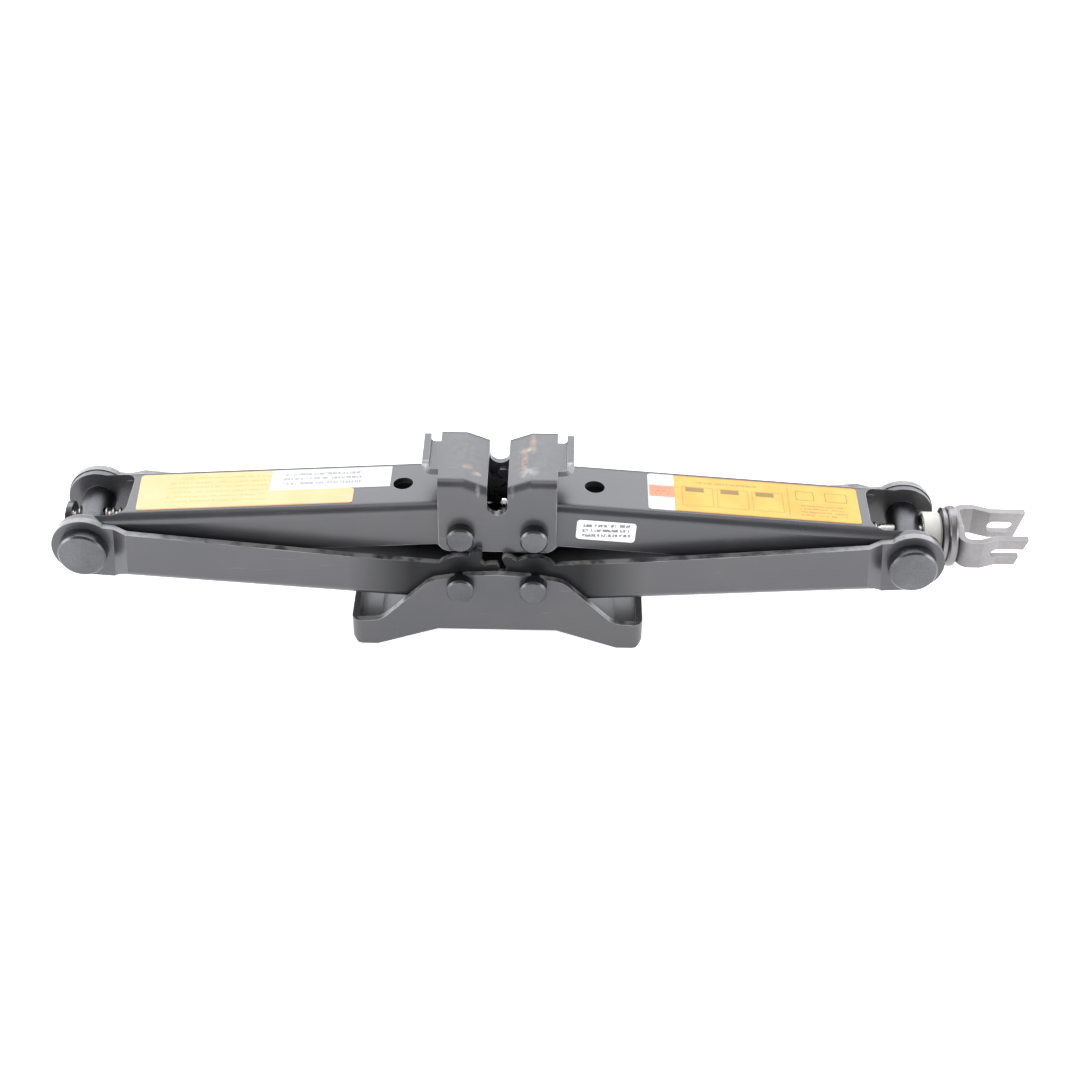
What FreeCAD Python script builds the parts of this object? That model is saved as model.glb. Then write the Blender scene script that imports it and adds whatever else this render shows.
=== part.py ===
import FreeCAD, Part
import math
import os
import re
import Sketcher
from FreeCAD import Placement, Rotation, Vector

# A car scissor jack, lowered. X runs along the screw towards the crank yoke, Y across the jack and Z up.
# The origin is the middle of the whole jack's box, on the ground.

DIMENSIONS = (
    # The linkage
    ("arm_length", 164, "inner pin to trunnion"),
    ("pin_offset", 15.8, "inner pins from the jack's centre, also the gears' pitch radius"),
    ("base_pin_height", 34, "lower pins above the ground"),
    ("rise", 11.25, "lower pins to trunnions, lowered"),
    ("saddle_pin_height", "=base_pin_height + 2 * rise", "upper pins above the ground"),
    ("trunnion_height", "=base_pin_height + rise", "screw above the ground"),
    ("closed_angle", "=asin(rise / arm_length) / 1deg", "arms from level, lowered"),
    ("trunnion_offset", "=pin_offset + arm_length * cos(closed_angle)", "trunnions from the centre"),
    # Pressed steel
    ("sheet", 3, "thickness of base, saddle, lower arms and yoke"),
    ("thin_sheet", 2.7, "thickness of the upper arms"),
    ("gap", 0.3, "side gap between sliding plates"),
    ("bend", 4.5, "outer bend radius"),
    ("bend_inside", 1.5, "inner bend radius"),
    # Half widths, from the inside out
    ("upper_half", 17.7, "upper arms"),
    ("ear_half", "=upper_half + gap + sheet", "lower arms' ears and saddle"),
    ("lower_half", "=ear_half + gap + sheet", "lower arms"),
    ("base_half", "=lower_half + gap + sheet", "base"),
    # Arms
    ("ear_radius", 14.3, "lower arms' ears"),
    ("ear_flat", 12.5, "length of the ears' flat closed edge"),
    ("ear_run_out", 5, "slope from that edge to the wall"),
    ("upper_ear_radius", 13.9, "upper arms' ears"),
    ("lower_depth", 12.7, "lower web's outside from the pivot line"),
    ("lower_wall_outer", 11.8, "lower wall's edge at the ear"),
    ("lower_wall_middle", 8.8, "lower wall's edge near the base's end"),
    ("lower_wall_inner", 8.3, "lower wall's edge at the pin"),
    ("lower_wall_step", 50, "where the lower wall's taper ends"),
    ("upper_depth", 13.3, "upper web's outside from the pivot line"),
    ("upper_wall", 7, "upper wall's edge from the pivot line"),
    ("web_gap", 19, "trunnion axis to web"),
    ("web_corner", 6, "radius of the web's cut-out corners"),
    ("joggle_run", 6, "length of the step from wall to ear"),
    ("web_start", 6, "inner pin to web"),
    ("web_hole_place", 25, "inner pin to web hole"),
    ("web_hole_radius", 4.4, "web hole"),
    # Gear teeth on the arms' inner ends
    ("tooth_pitch", 36, "angle from tooth to tooth"),
    ("tooth_phase", 9, "first tooth from the line of centres"),
    ("root_radius", 13, "tooth root"),
    ("tip_radius", 18.2, "tooth tip"),
    ("root_half", 2.75, "half thickness at the root"),
    ("pitch_half", 2.25, "half thickness at the pitch circle"),
    ("tip_half", 1.05, "half thickness at the tip"),
    # Pins and trunnions
    ("pin_radius", 5, "rivet shank"),
    ("pin_head_radius", 6, "rivet head"),
    ("pin_head_height", 5, "rivet head"),
    ("edge_break", 0.8, "chamfer on heads"),
    ("running", 0.05, "radial running clearance"),
    ("trunnion_radius", 7.3, "trunnion"),
    ("trunnion_head_radius", 10.5, "trunnion head"),
    ("trunnion_head_height", 5.7, "trunnion head"),
    ("spot_face", 6.2, "flat for the bearing from the trunnion's axis"),
    # Base
    ("base_length", 128.4, "base"),
    ("foot_inner", 53, "inner end of the feet from the centre"),
    ("arch_end", 26, "where the web is at its full height"),
    ("arch_height", 9.3, "underside of the raised web"),
    ("foot_corner", 2.6, "rise of the feet at their ends"),
    ("foot_height", 12.6, "end wall"),
    ("cheek_foot", 51, "where the cheek meets the foot"),
    ("cheek_shoulder", 29, "where the cheek's arch starts"),
    ("cheek_shoulder_height", 36.2, "height there"),
    ("cheek_crown", 14, "where the cheek is nearly at its full height"),
    ("cheek_height", 40, "cheek at the centre"),
    ("cheek_crown_drop", 0.9, "fall of the cheek's edge at the crown's ends"),
    ("corner_radius", 5, "upright corners"),
    # Saddle
    ("saddle_half_length", 25.4, "saddle plates"),
    ("saddle_below_pin", 8.8, "plate below the pin axis"),
    ("saddle_above_pin", 27, "top above the pin axis"),
    ("lobe_drop", 3.8, "fall of the lobes towards the slot"),
    ("lobe_crease", 14, "where the lobes start to fall"),
    ("slot_width", 8.8, "slot"),
    ("slot_floor_above_pin", 10.8, "slot's rounded floor above the pin axis"),
    ("plate_corner", 4.5, "lower corners of the plates"),
    ("lip_out", 32.4, "lips' outside from the centre"),
    ("lip_rise", 4, "lips above the top"),
    ("lip_half_width", 10.5, "lips"),
    ("lip_bend", 4.5, "lips' outer bend radius"),
    # Screw
    ("thread_radius", 5.5, "thread's outside"),
    ("shank_radius", 4.8, "plain shank"),
    ("screw_tail", 12, "left end beyond the left trunnion's axis"),
    ("thread_end", 12, "thread's right end inside the right trunnion's axis"),
    ("stop_radius", 8, "stop ring"),
    ("stop_length", 2.6, "stop ring"),
    ("stop_place", 8.2, "stop ring's near face beyond the trunnion's axis"),
    # Bearing stack, from the right trunnion's axis
    ("race_outer_radius", 9, "bearing races"),
    ("race_inner_radius", 5, "bearing races"),
    ("race_length", 1.6, "bearing races"),
    ("race_place", 6.3, "first race"),
    ("ball_radius", 1.5, "bearing balls"),
    ("ball_circle", 7, "radius of the ring of balls"),
    ("ball_count", 10, "bearing balls"),
    ("ball_gap", 0.02, "race to ball"),
    ("cage_length", 1.1, "ball cage"),
    ("cover_outer_radius", 10.4, "bearing cover"),
    ("cover_wall", 0.9, "bearing cover"),
    ("cover_end", 14.6, "bearing cover's end"),
    ("cover_floor", 1.8, "bearing cover's end wall"),
    ("cover_hole_radius", 7.7, "hole in the end wall"),
    ("collar_hub_radius", 7.2, "collar's hub"),
    ("collar_lip_place", 15, "collar's thin lip"),
    ("collar_lip_radius", 12.5, "collar's thin lip"),
    ("collar_lip_length", 1.2, "collar's thin lip"),
    ("collar_groove_radius", 11.4, "groove between lip and flange"),
    ("collar_place", 17, "collar's flange"),
    ("collar_radius", 13.45, "collar's flange"),
    ("collar_length", 4.3, "collar's flange"),
    ("collar_round", 1.6, "collar's rim"),
    # Crank yoke
    ("yoke_half", 14.2, "outside at the plate"),
    ("yoke_tip_half", 11.4, "outside at the tips"),
    ("yoke_joggle_start", 10, "plate's left face to the step"),
    ("yoke_joggle_end", 17, "plate's left face to the step's end"),
    ("yoke_front_length", 30.1, "plate's left face to the front prong's tip"),
    ("yoke_front_slant", 4.8, "front tip's slant"),
    ("yoke_rear_length", 32.1, "plate's left face to the rear prong's tip"),
    ("yoke_rear_slant", 3.8, "rear tip's slant"),
    ("yoke_height", 13.4, "prongs"),
    ("yoke_bend", 5.4, "bend radius"),
    ("yoke_slot_start", 14, "front prong's slot from the plate"),
    ("yoke_slot_drop", 0.4, "front prong's slot below the axis"),
    ("yoke_slot_height", 4, "front prong's slot"),
    ("yoke_hole_start", 16, "rear prong's hole from the plate"),
    ("yoke_hole_length", 11.6, "rear prong's hole"),
    ("yoke_hole_height", 5.4, "rear prong's hole"),
    ("yoke_hole_drop", 1, "rear prong's hole below the axis"),
    ("rivet_end_radius", 6.2, "screw's riveted end"),
    ("rivet_end_length", 1, "screw's riveted end"),
    # Labels, along the arms from the centre
    ("label_thickness", 0.2, "labels"),
    ("label_half_width", 13, "web labels"),
    ("left_label_end", 156.3, "left yellow label, front corner"),
    ("left_label_skew", 1.8, "left yellow label's rear corner beyond the front one"),
    ("label_corner", 1.6, "labels' corners"),
    ("left_label_start", 62, "left yellow label"),
    ("white_label_end", 99.4, "left white label"),
    ("white_label_start", 46.4, "left white label"),
    ("white_label_edge", -2, "left white label's near edge"),
    ("right_label_end", 156.6, "right yellow label"),
    ("right_label_split", 75.6, "right yellow label's start"),
    ("right_label_start", 64, "right white label's start"),
    ("side_label_start", 33.8, "side label"),
    ("side_label_end", 59.4, "side label"),
    ("side_label_top", 8.2, "side label above the pivot line"),
    ("side_label_height", 10.2, "side label"),
    # The jack's middle
    ("yoke_place", "=trunnion_offset + collar_place + collar_length", "yoke plate's left face"),
    ("centre", "=-(yoke_place + yoke_rear_length - trunnion_offset - ear_radius) / 2", "base's middle"),
)
NAMES = {name for name, _, _ in DIMENSIONS}
LEFT, RIGHT = -1, 1
FRONT, REAR = -1, 1
REACH = 80  # longer than any cut has to go
LABEL_SLACK = 2  # a skewed label's corners lie this near its end

doc = FreeCAD.newDocument("ScissorJack")
dims = doc.addObject("Spreadsheet::Sheet", "Dims")
parts = []


# ---- Helpers ----


def fill_sheet():
    for row, (name, amount, note) in enumerate(DIMENSIONS, start=1):
        dims.set(f"A{row}", name)
        dims.set(f"B{row}", str(amount))
        dims.setAlias(f"B{row}", name)
        dims.set(f"C{row}", note)
    doc.recompute()


def bound(expression):
    """The expression with each dimension's name pointing at its cell."""

    def cell(word):
        return f"Dims.{word[0]}" if word[0] in NAMES else word[0]

    return re.sub(r"[a-z_]+", cell, str(expression))


def size(expression):
    return float(dims.evalExpression(bound(expression)))


def new_body(label):
    body = doc.addObject("PartDesign::Body", label)
    body.Label = label
    parts.append(body)
    return body


def put(body, x="0", z="0", tilt="0", turn=1):
    """Places a body's origin at x from the jack's centre and z above the ground, tilted about Y."""
    place = {"x": f"centre + {x}", "z": z}
    body.Placement = Placement(Vector(), Rotation(Vector(0, turn, 0), size(tilt)))
    for axis, expression in place.items():
        body.setExpression(f"Placement.Base.{axis}", bound(expression))
    body.setExpression("Placement.Rotation.Angle", bound(tilt))


def sketch_on(body, plane, offset="0"):
    """A sketch on one of the body's own origin planes, moved along the plane's normal."""
    sketch = body.newObject("Sketcher::SketchObject", f"{body.Label}_sketch")
    origin_plane = [item for item in body.Origin.OriginFeatures if item.Role == plane][0]
    sketch.AttachmentSupport = (origin_plane, [""])
    sketch.MapMode = "FlatFace"
    sketch.setExpression("AttachmentOffset.Base.z", bound(offset))
    return sketch


def fix(sketch, kind, shape, point, expression):
    index = sketch.addConstraint(Sketcher.Constraint(kind, shape, point, size(expression)))
    sketch.setExpression(f"Constraints[{index}]", bound(expression))


def outline(sketch, corners):
    """A closed outline of straight edges, each corner given by two expressions."""
    first = sketch.GeometryCount
    places = [Vector(size(x), size(y), 0) for x, y in corners]
    count = len(corners)
    for index, place in enumerate(places):
        sketch.addGeometry(Part.LineSegment(place, places[(index + 1) % count]))
    for index, (x, y) in enumerate(corners):
        after = first + (index + 1) % count
        sketch.addConstraint(Sketcher.Constraint("Coincident", first + index, 2, after, 1))
        fix(sketch, "DistanceX", first + index, 1, x)
        fix(sketch, "DistanceY", first + index, 1, y)


def circle(sketch, x, y, radius):
    index = sketch.addGeometry(Part.Circle(Vector(size(x), size(y), 0), Vector(0, 0, 1), size(radius)))
    fix(sketch, "DistanceX", index, 3, x)
    fix(sketch, "DistanceY", index, 3, y)
    amount = sketch.addConstraint(Sketcher.Constraint("Radius", index, size(radius)))
    sketch.setExpression(f"Constraints[{amount}]", bound(radius))


def mirrored(half):
    """The corners of one half (y above 0, in order) and of its mirror image across y = 0."""
    return half + [(x, f"-({y})") for x, y in reversed(half)]


def rectangle(left, right, low, high):
    return [(left, low), (right, low), (right, high), (left, high)]


def finish_feature(body, feature, sketch):
    sketch.Visibility = False
    body.Tip = feature
    doc.recompute()
    return feature


def pad(body, sketch, length, both=True, backwards=False):
    feature = body.newObject("PartDesign::Pad", f"{body.Label}_pad")
    feature.Profile = sketch
    feature.Midplane = both
    feature.Reversed = backwards
    feature.setExpression("Length", bound(length))
    return finish_feature(body, feature, sketch)


def cut(body, sketch, length=REACH, both=True, backwards=False):
    """Cuts the sketch out of the body, and stops if nothing was removed."""
    before = body.Tip.Shape.Volume
    feature = body.newObject("PartDesign::Pocket", f"{body.Label}_cut")
    feature.Profile = sketch
    feature.Midplane = both
    feature.Reversed = backwards
    feature.setExpression("Length", bound(length))
    finish_feature(body, feature, sketch)
    if feature.Shape.Volume > before - 1e-3:
        raise RuntimeError(f"{feature.Name} cuts nothing")
    return feature


def round_edges(body, wanted, radius, kind="Fillet"):
    """Rounds or chamfers the edges of the tip whose middle point and direction pass the test."""
    rough = body.Tip
    names = []
    for number, edge in enumerate(rough.Shape.Edges, start=1):
        middle = edge.valueAt((edge.FirstParameter + edge.LastParameter) / 2)
        along = edge.tangentAt((edge.FirstParameter + edge.LastParameter) / 2)
        here = body.Placement.inverse().multVec(middle)
        heading = body.Placement.Rotation.inverted().multVec(along)
        if wanted(here, heading):
            names.append(f"Edge{number}")
    if not names:
        raise RuntimeError(f"{body.Label}: no edge to round")
    feature = body.newObject(f"PartDesign::{kind}", f"{body.Label}_{kind.lower()}")
    feature.Base = (rough, names)
    feature.setExpression("Radius" if kind == "Fillet" else "Size", bound(radius))
    body.Tip = feature
    doc.recompute()
    return feature


def near(amount, expression, slack=0.05):
    return abs(amount - size(expression)) < slack


def revolve(body, sketch, axis):
    feature = body.newObject("PartDesign::Revolution", f"{body.Label}_turned")
    feature.Profile = sketch
    origin_axis = [item for item in body.Origin.OriginFeatures if item.Role == axis][0]
    feature.ReferenceAxis = (origin_axis, [""])
    feature.Angle = 360
    return finish_feature(body, feature, sketch)


# ---- Arms ----


class ArmShape:
    """What differs between the lower arms, open upwards, and the upper arms, open downwards."""

    def __init__(self, opening, half, thickness, depth, wall, ear, pin_height):
        self.opening = opening
        self.half = half
        self.thickness = thickness
        self.depth = depth
        self.wall = wall
        self.ear = ear
        self.pin_height = pin_height


LOWER_WALL = [
    ("arm_length", "lower_wall_outer"),
    ("lower_wall_step", "lower_wall_middle"),
    ("0", "lower_wall_inner"),
]
UPPER_WALL = [("arm_length", "upper_wall"), ("0", "upper_wall")]
LOWER = ArmShape(1, "lower_half", "sheet", "lower_depth", LOWER_WALL, "ear_radius", "base_pin_height")
UPPER = ArmShape(
    -1, "upper_half", "thin_sheet", "upper_depth", UPPER_WALL, "upper_ear_radius", "saddle_pin_height"
)


def tooth_corners(angle):
    """One tooth's corners as (distance outwards, height to the open side) from the inner pin."""
    steps = (
        ("root_radius", "-root_half"),
        ("pin_offset", "-pitch_half"),
        ("tip_radius", "-tip_half"),
        ("tip_radius", "tip_half"),
        ("pin_offset", "pitch_half"),
        ("root_radius", "root_half"),
    )
    return [
        (
            f"-({radius} * cos({angle}) - ({across}) * sin({angle}))",
            f"{radius} * sin({angle}) + ({across}) * cos({angle})",
        )
        for radius, across in steps
    ]


def gear_sector(first_tooth):
    """Three teeth about the inner pin. The arms of a pair are half a tooth apart."""
    corners = [("0", "0")]
    for number in range(3):
        corners += tooth_corners(f"(closed_angle + {first_tooth} + {number} * tooth_pitch)")
    return corners


def arm(label, side, shape):
    """A channel with its inner pin at its origin. It is drawn level and tilted when placed."""
    body = new_body(label)
    open_side = shape.opening
    inner = f"({shape.half} - {shape.thickness})"

    def side_view(corners):
        return [(f"{side} * ({out})", f"{open_side} * ({up})") for out, up in corners]

    def plan(half):
        return [(f"{side} * ({out})", across) for out, across in mirrored(half)]

    walls = sketch_on(body, "XZ_Plane")
    outline(walls, side_view([("0", f"-{shape.depth}"), ("arm_length", f"-{shape.depth}")] + shape.wall))
    pad(body, walls, f"2 * {shape.half}")
    web_level = -open_side * size(shape.depth)
    half_width = size(shape.half)
    round_edges(
        body,
        lambda at, along: abs(along.x) > 0.99
        and abs(at.z - web_level) < 0.05
        and abs(abs(at.y) - half_width) < 0.05,
        "bend",
    )

    boss = sketch_on(body, "XZ_Plane")
    circle(boss, "0", "0", "root_radius")
    pad(body, boss, f"2 * {shape.half}")
    teeth = sketch_on(body, "XZ_Plane")
    first_tooth = "-tooth_phase" if side == LEFT else "tooth_phase - tooth_pitch"
    outline(teeth, side_view(gear_sector(first_tooth)))
    pad(body, teeth, f"2 * {shape.half}")
    ear = sketch_on(body, "XZ_Plane")
    circle(ear, f"{side} * arm_length", "0", shape.ear)
    pad(body, ear, f"2 * {shape.half}")

    # The channel narrows to the ears, and the ears have a flat closed edge, on the lower arms only.
    joggled = shape is LOWER
    if joggled:
        flat = sketch_on(body, "XZ_Plane")
        edge = [
            ("arm_length", "0"),
            ("arm_length", "-ear_radius"),
            ("arm_length - ear_flat", "-ear_radius"),
            ("arm_length - ear_flat - ear_run_out", f"-{shape.depth} + bend / 2"),
        ]
        outline(flat, side_view(edge))
        pad(body, flat, f"2 * {shape.half}")
    ear_inner = "(ear_half - sheet)" if joggled else inner
    web_end = "arm_length - web_gap"
    joggle = [(web_end, inner), ("arm_length - web_gap + joggle_run", ear_inner), (f"{REACH * 3}", ear_inner)]
    channel = sketch_on(body, "XY_Plane", f"{-open_side} * ({shape.depth} - {shape.thickness})")
    outline(channel, plan([(f"-{REACH}", inner)] + joggle))
    cut(body, channel, both=False, backwards=open_side > 0)
    inner_end = sketch_on(body, "XY_Plane")
    outline(inner_end, plan([(f"-{REACH}", inner), ("web_start", inner)]))
    cut(body, inner_end)
    outer_end = sketch_on(body, "XY_Plane")
    outline(outer_end, plan(joggle))
    cut(body, outer_end)
    web_inside = -open_side * size(f"{shape.depth} - {shape.thickness}")
    round_edges(
        body,
        lambda at, along: abs(along.x) > 0.99
        and abs(at.z - web_inside) < 0.05
        and near(abs(at.y), inner)
        and abs(at.x) < size(web_end),
        "bend_inside",
    )
    if joggled:
        for face in (FRONT, REAR):
            step = sketch_on(body, "XY_Plane")
            corners = [
                (web_end, f"{face} * {shape.half}"),
                ("arm_length - web_gap + joggle_run", f"{face} * ear_half"),
                (f"{REACH * 3}", f"{face} * ear_half"),
                (f"{REACH * 3}", f"{face} * {REACH}"),
                (web_end, f"{face} * {REACH}"),
            ]
            outline(step, [(f"{side} * ({out})", across) for out, across in corners])
            cut(body, step)

    holes = sketch_on(body, "XZ_Plane")
    circle(holes, "0", "0", "pin_radius + running")
    circle(holes, f"{side} * arm_length", "0", "trunnion_radius + running")
    cut(body, holes)
    if shape is UPPER:
        round_edges(
            body,
            lambda at, along: abs(along.z) > 0.99
            and near(abs(at.x), web_end)
            and near(abs(at.y), inner)
            and abs(abs(at.z) - size(shape.depth)) < size(shape.thickness),
            "web_corner",
        )
        web_hole = sketch_on(body, "XY_Plane")
        circle(web_hole, f"{side} * web_hole_place", "0", "web_hole_radius")
        cut(body, web_hole)
    put(body, f"{side} * pin_offset", shape.pin_height, "closed_angle", turn=-side * open_side)
    return body


# ---- Base and saddle ----


def base_bracket():
    body = new_body("base_bracket")
    half = "base_length / 2"
    right_side = [
        ("arch_end", "arch_height"),
        ("foot_inner", "0"),
        (f"{half} - foot_corner", "0"),
        (half, "foot_corner"),
        (half, "foot_height"),
        ("cheek_foot", "foot_height + 1"),
        ("cheek_shoulder", "cheek_shoulder_height"),
        ("cheek_crown", "cheek_height - cheek_crown_drop"),
        ("0", "cheek_height"),
    ]
    left_side = [(f"-({x})", z) for x, z in reversed(right_side[:-1])]
    cheeks = sketch_on(body, "XZ_Plane")
    outline(cheeks, right_side + left_side)
    pad(body, cheeks, "2 * base_half")
    shoulder = (size("cheek_shoulder"), size("cheek_foot"), size("cheek_crown"))
    round_edges(
        body,
        lambda at, along: abs(along.y) > 0.99 and any(abs(abs(at.x) - place) < 0.05 for place in shoulder),
        "2 * corner_radius",
    )
    round_edges(
        body,
        lambda at, along: abs(along.z) > 0.99 and near(abs(at.x), half) and near(abs(at.y), "base_half"),
        "corner_radius",
    )
    tray = sketch_on(body, "XZ_Plane")
    floor = [
        ("arch_end - 0.5", "arch_height + sheet"),
        ("foot_inner - 0.5", "sheet"),
        (f"{half} - sheet", "sheet"),
        (f"{half} - sheet", f"{REACH}"),
    ]
    outline(tray, floor + [(f"-({x})", z) for x, z in reversed(floor)])
    cut(body, tray, "2 * (base_half - sheet)")
    round_edges(
        body,
        lambda at, along: abs(along.z) > 0.99
        and near(abs(at.x), f"{half} - sheet")
        and near(abs(at.y), "base_half - sheet"),
        "corner_radius - sheet",
    )
    holes = sketch_on(body, "XZ_Plane")
    for side in (LEFT, RIGHT):
        circle(holes, f"{side} * pin_offset", "base_pin_height", "pin_radius + running")
    cut(body, holes)
    put(body)
    return body


def saddle_profile(drop):
    """The saddle's top edge from right to left, a given distance below its outer surface."""
    top = f"saddle_above_pin - {drop}"
    right_side = [("saddle_half_length", top), ("lobe_crease", top)]
    middle = [("0", f"{top} - lobe_drop - lobe_drop * slot_width / (2 * (lobe_crease - slot_width / 2))")]
    return right_side + middle + [(f"-{x}", z) for x, z in reversed(right_side)]


def saddle_bracket():
    body = new_body("saddle_bracket")
    plates = sketch_on(body, "XZ_Plane")
    bottom = [("-saddle_half_length", "-saddle_below_pin"), ("saddle_half_length", "-saddle_below_pin")]
    outline(plates, bottom + saddle_profile("0"))
    pad(body, plates, "2 * ear_half")
    round_edges(
        body,
        lambda at, along: abs(along.x) > 0.9
        and at.z > size("slot_floor_above_pin")
        and near(abs(at.y), "ear_half"),
        "bend",
    )
    inside = sketch_on(body, "XZ_Plane")
    floor = [(f"-{REACH}", f"-{REACH}"), (f"{REACH}", f"-{REACH}")]
    ceiling = saddle_profile("sheet")
    ceiling[0] = (f"{REACH}", ceiling[0][1])
    ceiling[-1] = (f"-{REACH}", ceiling[-1][1])
    outline(inside, floor + ceiling)
    cut(body, inside, "2 * (ear_half - sheet)")
    for side in (LEFT, RIGHT):
        lip = sketch_on(body, "XZ_Plane")
        top = "saddle_above_pin"
        corners = [
            ("saddle_half_length - 1", f"{top} - sheet"),
            ("lip_out", f"{top} - sheet"),
            ("lip_out", f"{top} + lip_rise"),
            ("lip_out - sheet", f"{top} + lip_rise"),
            ("lip_out - sheet", top),
            ("saddle_half_length - 1", top),
        ]
        outline(lip, [(f"{side} * ({x})", z) for x, z in corners])
        pad(body, lip, "2 * lip_half_width")
    round_edges(
        body,
        lambda at, along: abs(along.y) > 0.99
        and near(abs(at.x), "lip_out")
        and near(at.z, "saddle_above_pin - sheet"),
        "lip_bend",
    )
    round_edges(
        body,
        lambda at, along: abs(along.y) > 0.99
        and near(abs(at.x), "lip_out - sheet")
        and near(at.z, "saddle_above_pin"),
        "lip_bend - sheet",
    )
    slot = sketch_on(body, "XZ_Plane")
    half_slot = "slot_width / 2"
    outline(slot, rectangle(f"-{half_slot}", half_slot, f"slot_floor_above_pin + {half_slot}", f"{REACH}"))
    cut(body, slot)
    slot_end = sketch_on(body, "XZ_Plane")
    circle(slot_end, "0", f"slot_floor_above_pin + {half_slot}", half_slot)
    cut(body, slot_end)
    holes = sketch_on(body, "XZ_Plane")
    for side in (LEFT, RIGHT):
        circle(holes, f"{side} * pin_offset", "0", "pin_radius + running")
    cut(body, holes)
    round_edges(
        body,
        lambda at, along: abs(along.y) > 0.99
        and near(abs(at.x), "saddle_half_length")
        and near(at.z, "-saddle_below_pin"),
        "plate_corner",
    )
    put(body, z="saddle_pin_height")
    return body


# ---- Pins and trunnions ----


def headed_pin(body, radius, plate_face, head_radius, head_height):
    """A shank across the jack with a head beyond each plate's outer face, turned about Y."""
    half = [
        ("0", f"{plate_face} + {head_height}"),
        (f"{head_radius} - edge_break", f"{plate_face} + {head_height}"),
        (head_radius, f"{plate_face} + {head_height} - edge_break"),
        (head_radius, plate_face),
        (radius, plate_face),
    ]
    section = sketch_on(body, "XY_Plane")
    outline(section, half + [(x, f"-({y})") for x, y in reversed(half)])
    revolve(body, section, "Y_Axis")


def rivet_pin(label, side, plate_face, height):
    body = new_body(label)
    headed_pin(body, "pin_radius", plate_face, "pin_head_radius", "pin_head_height")
    put(body, f"{side} * pin_offset", height)
    return body


def trunnion(label, side, bore):
    """A cross block through the four ears, bored along X for the screw."""
    body = new_body(label)
    headed_pin(body, "trunnion_radius", "(ear_half + gap)", "trunnion_head_radius", "trunnion_head_height")
    screw_hole = sketch_on(body, "YZ_Plane")
    circle(screw_hole, "0", "0", bore)
    cut(body, screw_hole)
    if side == RIGHT:
        flat = sketch_on(body, "XZ_Plane")
        outline(flat, rectangle("spot_face", f"{REACH}", f"-{REACH}", f"{REACH}"))
        cut(body, flat, "2 * (cover_outer_radius + 1)")
    put(body, f"{side} * trunnion_offset", "trunnion_height")
    return body


# ---- Screw, bearing and yoke: all drawn from the right trunnion's axis ----


def ring(label, start, end, inner_radius, outer_radius):
    """A plain ring about the screw's axis."""
    body = new_body(label)
    section = sketch_on(body, "XZ_Plane")
    outline(section, rectangle(start, end, inner_radius, outer_radius))
    revolve(body, section, "X_Axis")
    put(body, "trunnion_offset", "trunnion_height")
    return body


def lifting_screw():
    body = new_body("lifting_screw")
    tail = "-2 * trunnion_offset - screw_tail"
    plate_far_side = "collar_place + collar_length + sheet"
    section = sketch_on(body, "XZ_Plane")
    corners = [
        (tail, "0"),
        (tail, "thread_radius - 1"),
        (f"{tail} + 1", "thread_radius"),
        ("-thread_end", "thread_radius"),
        ("-thread_end + 0.7", "shank_radius"),
        (plate_far_side, "shank_radius"),
        (plate_far_side, "rivet_end_radius"),
        (f"{plate_far_side} + 0.6 * rivet_end_length", "0.85 * rivet_end_radius"),
        (f"{plate_far_side} + rivet_end_length", "0.4 * rivet_end_radius"),
        (f"{plate_far_side} + rivet_end_length", "0"),
    ]
    outline(section, corners)
    revolve(body, section, "X_Axis")
    put(body, "trunnion_offset", "trunnion_height")
    return body


def thrust_bearing():
    near_side = "race_place"
    balls_middle = "(race_place + race_length + ball_gap + ball_radius)"
    far_side = "race_place + race_length + 2 * (ball_gap + ball_radius)"
    for name, start in (("inner", near_side), ("outer", far_side)):
        end = f"{start} + race_length"
        ring(f"bearing_race_{name}", start, end, "race_inner_radius", "race_outer_radius")
    cage = ring(
        "ball_cage",
        f"{balls_middle} - cage_length / 2",
        f"{balls_middle} + cage_length / 2",
        "race_inner_radius + 0.1",
        "race_outer_radius",
    )
    pockets = sketch_on(cage, "YZ_Plane")
    count = int(size("ball_count"))
    for number in range(count):
        angle = f"(360 * {number} / ball_count)"
        circle(pockets, f"ball_circle * cos({angle})", f"ball_circle * sin({angle})", "ball_radius + running")
    cut(cage, pockets)
    bearing_balls(balls_middle, count)
    bearing_cover()


def bearing_balls(middle, count):
    """The ring of balls, each a solid of its own."""
    balls = []
    for number in range(count):
        ball = doc.addObject("Part::Sphere", f"ball_{number + 1}")
        angle = f"(360 * {number} / ball_count)"
        ball.setExpression("Radius", bound("ball_radius"))
        ball.setExpression("Placement.Base.x", bound(f"centre + trunnion_offset + {middle}"))
        ball.setExpression("Placement.Base.y", bound(f"ball_circle * cos({angle})"))
        ball.setExpression("Placement.Base.z", bound(f"trunnion_height + ball_circle * sin({angle})"))
        balls.append(ball)
    group = doc.addObject("Part::Compound", "bearing_balls")
    group.Label = "bearing_balls"
    group.Links = balls
    parts.append(group)


def bearing_cover():
    """A cup that slips over the bearing, open towards the trunnion."""
    body = new_body("bearing_cover")
    section = sketch_on(body, "XZ_Plane")
    corners = [
        ("race_place + 0.3", "cover_outer_radius - cover_wall"),
        ("race_place + 0.3", "cover_outer_radius"),
        ("cover_end - 1", "cover_outer_radius"),
        ("cover_end", "cover_outer_radius - 1"),
        ("cover_end", "cover_hole_radius"),
        ("cover_end - cover_floor", "cover_hole_radius"),
        ("cover_end - cover_floor", "cover_outer_radius - cover_wall"),
    ]
    outline(section, corners)
    revolve(body, section, "X_Axis")
    put(body, "trunnion_offset", "trunnion_height")


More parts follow.
